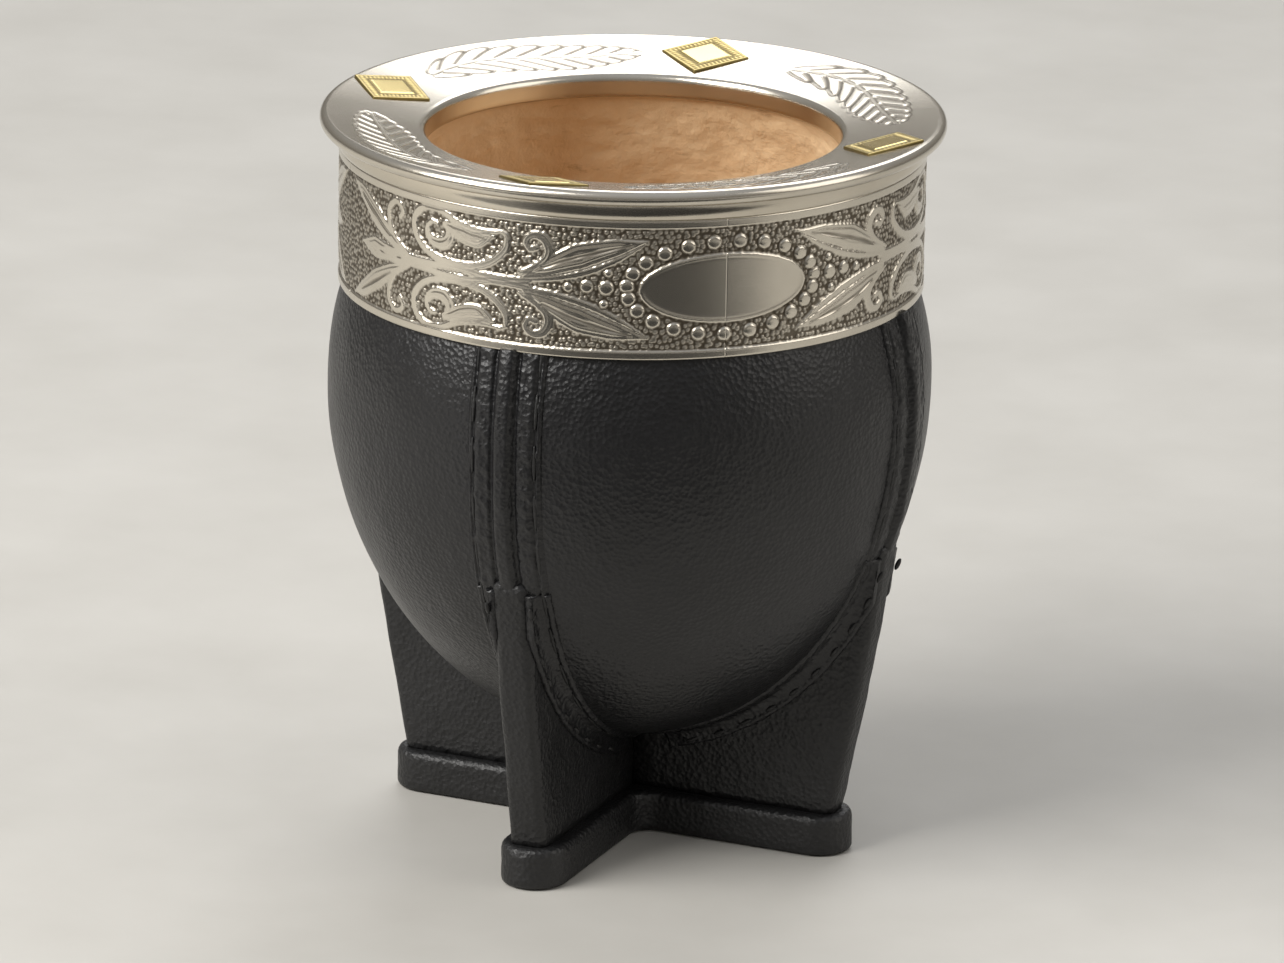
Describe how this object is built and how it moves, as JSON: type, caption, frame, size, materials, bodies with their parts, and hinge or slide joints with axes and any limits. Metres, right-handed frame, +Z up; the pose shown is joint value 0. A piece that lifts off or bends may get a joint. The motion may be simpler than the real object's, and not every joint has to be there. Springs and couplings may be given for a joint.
{
  "type": "mate gourd cup",
  "caption": "Footed mate gourd cup: hollow gourd in a stitched black leather sleeve on a cross-shaped leather foot, with a chased metal collar and gold rhombic plaques.",
  "frame": {"origin": "centre of the sole's underside, on the surface that the cup stands on", "axes": "+Z up along the cup's axis; the four fins lie along -Y, +X, +Y and -X"},
  "size_m": [0.0884, 0.0884, 0.1052],
  "materials": {
    "gourd": "dry, matt, faintly pitted gourd wall",
    "leather": "smooth black leather, satin",
    "nickel_silver": "chased and polished, with dark recesses",
    "gold": "polished field in a chased border"
  },
  "bodies": {
    "root": {"gourd": "gourd", "leather_sleeve": "leather", "rib_1": "leather", "rib_2": "leather", "rib_3": "leather", "rib_4": "leather", "fin_1": "leather", "fin_2": "leather", "fin_3": "leather", "fin_4": "leather", "sole": "leather", "collar_band": "nickel_silver", "collar_moulding": "nickel_silver", "collar_plate": "nickel_silver", "plaque_1": "gold", "plaque_2": "gold", "plaque_3": "gold", "plaque_4": "gold"}
  },
  "joints": []
}
